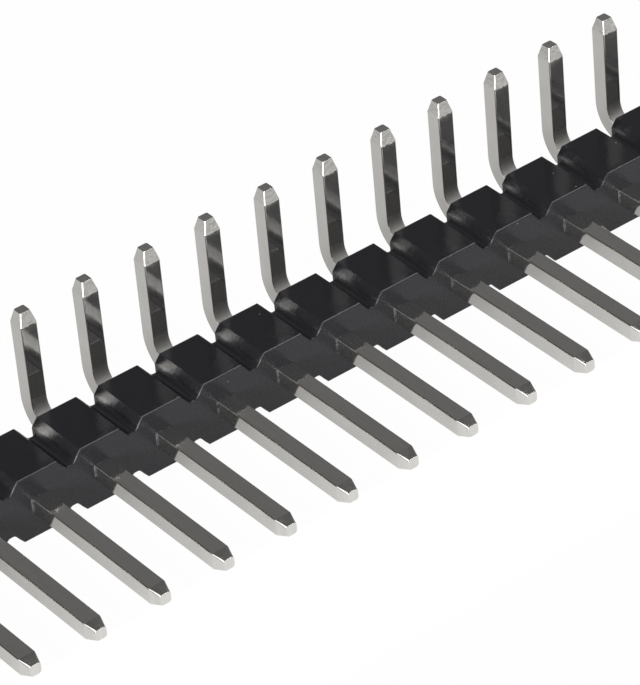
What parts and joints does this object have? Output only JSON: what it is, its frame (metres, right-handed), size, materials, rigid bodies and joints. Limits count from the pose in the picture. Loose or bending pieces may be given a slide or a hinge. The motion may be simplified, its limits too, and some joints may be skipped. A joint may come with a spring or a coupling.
{
  "type": "pin header strip",
  "caption": "Right-angle pin header strip: square wire contacts bent up behind a black housing of octagonal segments joined by break-off webs.",
  "frame": {"origin": "under the middle of the whole strip, level with the underside of the housing", "axes": "+X along the strip, -Y the way the mating legs point, +Z the way the board tails point, up when the strip stands on the housing's underside"},
  "size_m": [0.0508, 0.011, 0.0058],
  "materials": {
    "housing": "black glass-filled thermoplastic, moulded, semi-gloss with a fine grain",
    "contact": "bright tin plating on drawn square wire, coined tips"
  },
  "bodies": {
    "root": {"housing": "housing", "pin_01": "contact", "pin_02": "contact", "pin_03": "contact", "pin_04": "contact", "pin_05": "contact", "pin_06": "contact", "pin_07": "contact", "pin_08": "contact", "pin_09": "contact", "pin_10": "contact", "pin_11": "contact", "pin_12": "contact", "pin_13": "contact", "pin_14": "contact", "pin_15": "contact", "pin_16": "contact", "pin_17": "contact", "pin_18": "contact", "pin_19": "contact", "pin_20": "contact"}
  },
  "joints": []
}
